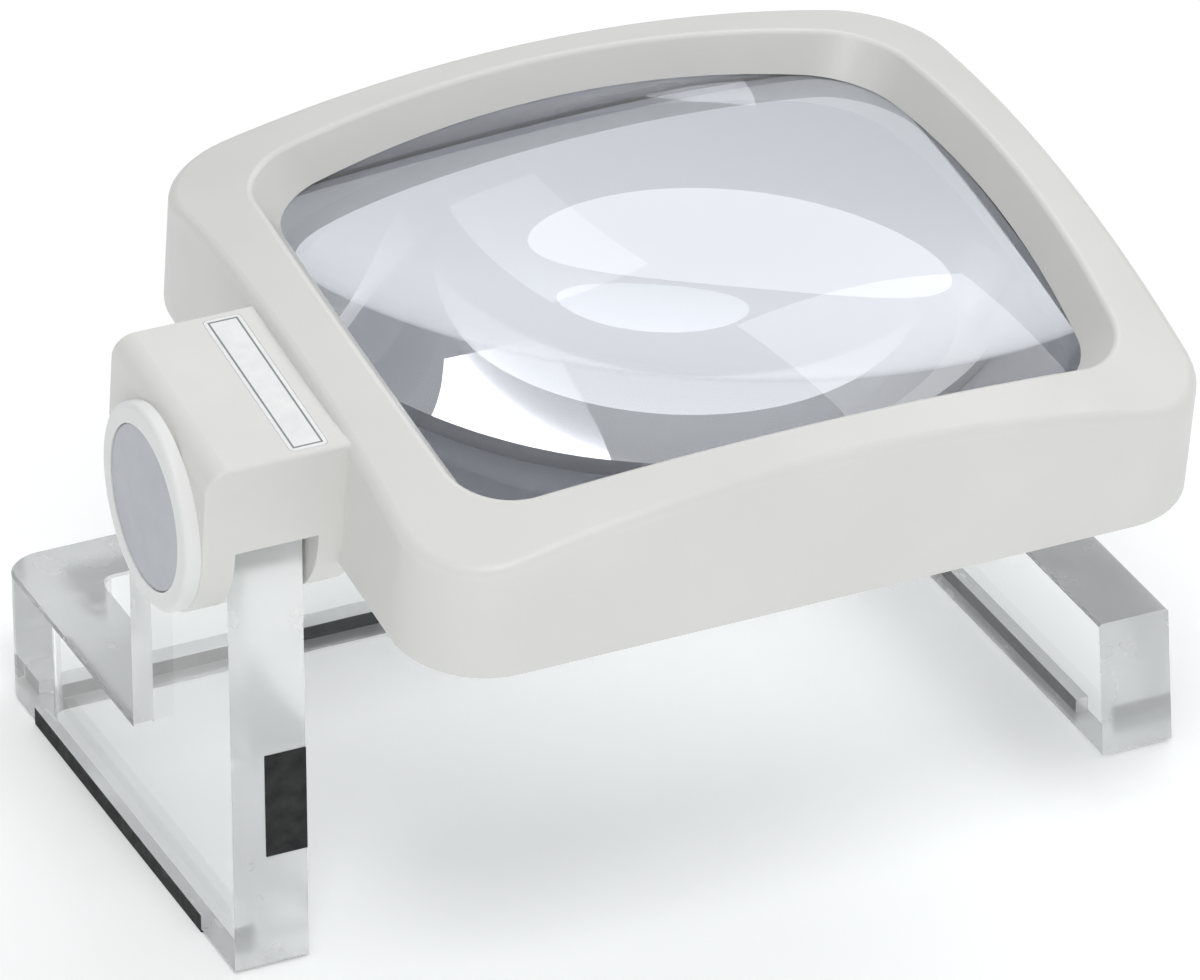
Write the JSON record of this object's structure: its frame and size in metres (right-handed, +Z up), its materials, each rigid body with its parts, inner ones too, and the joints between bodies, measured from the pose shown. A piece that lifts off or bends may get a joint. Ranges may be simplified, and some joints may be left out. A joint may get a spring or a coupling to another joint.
{
  "type": "stand magnifier",
  "caption": "Low-vision writing magnifier: a large clear lens in a white skirted head that tilts on one post of a clear U-shaped acrylic stand.",
  "frame": {"origin": "middle of the overall box in plan, on the surface that the rubber strips stand on", "axes": "+X from the post to the free foot, +Y away from the reader, +Z up"},
  "size_m": [0.1658, 0.131, 0.1071],
  "materials": {
    "clear_acrylic": "clear cast acrylic, polished edges",
    "lens_clear": "optically clear, polished",
    "white_shell": "moulded, fine satin texture",
    "white_cover": "moulded, smooth satin",
    "disc_grey": "smooth satin",
    "black_rubber": "matt",
    "steel": "plated, satin",
    "nylon": "plain",
    "brass": "turned",
    "label_white": "blank label",
    "lamp_diffuser": "frosted",
    "board_green": "lacquered circuit board",
    "led_amber": "moulded chip",
    "cell_steel": "nickel plated",
    "switch_grey": "moulded"
  },
  "bodies": {
    "stand": {"stand": "clear_acrylic", "pivot_bush": "brass", "left_grip_strip": "black_rubber", "right_grip_strip": "black_rubber", "rear_grip_strip": "black_rubber", "front_pad": "black_rubber"},
    "head": {"head_shell": "white_shell", "lens": "lens_clear", "skirt_ring": "white_cover", "ring_screws": "steel", "pivot_bolt": "steel", "pivot_nut": "steel", "spring_washers": "steel", "outer_friction_washer": "nylon", "inner_friction_washer": "nylon", "pivot_cap": "white_cover", "cap_disc": "disc_grey", "label_plate": "label_white", "lamp_window": "lamp_diffuser", "lamp_board": "board_green", "lamp_leds": "led_amber", "front_contact": "brass", "rear_contact": "brass", "switch_body": "switch_grey"},
    "battery_drawer": {"battery_tray": "white_cover", "battery_cells": "cell_steel"},
    "switch_slider": {"switch_slider": "switch_grey"}
  },
  "joints": [
    {"name": "head_tilt", "type": "hinge", "parent": "stand", "child": "head", "pos_m": [-0.06865, -0.01517, 0.0767], "axis": [1, 0, 0], "range_deg": [-45, 30]},
    {"name": "battery_drawer_slide", "type": "slide", "parent": "head", "child": "battery_drawer", "axis": [0, 0.1495, -0.9888], "range_m": [0, 0.0225]},
    {"name": "switch_slide", "type": "slide", "parent": "head", "child": "switch_slider", "axis": [0, 0.9888, 0.1495], "range_m": [0, 0.003]}
  ]
}
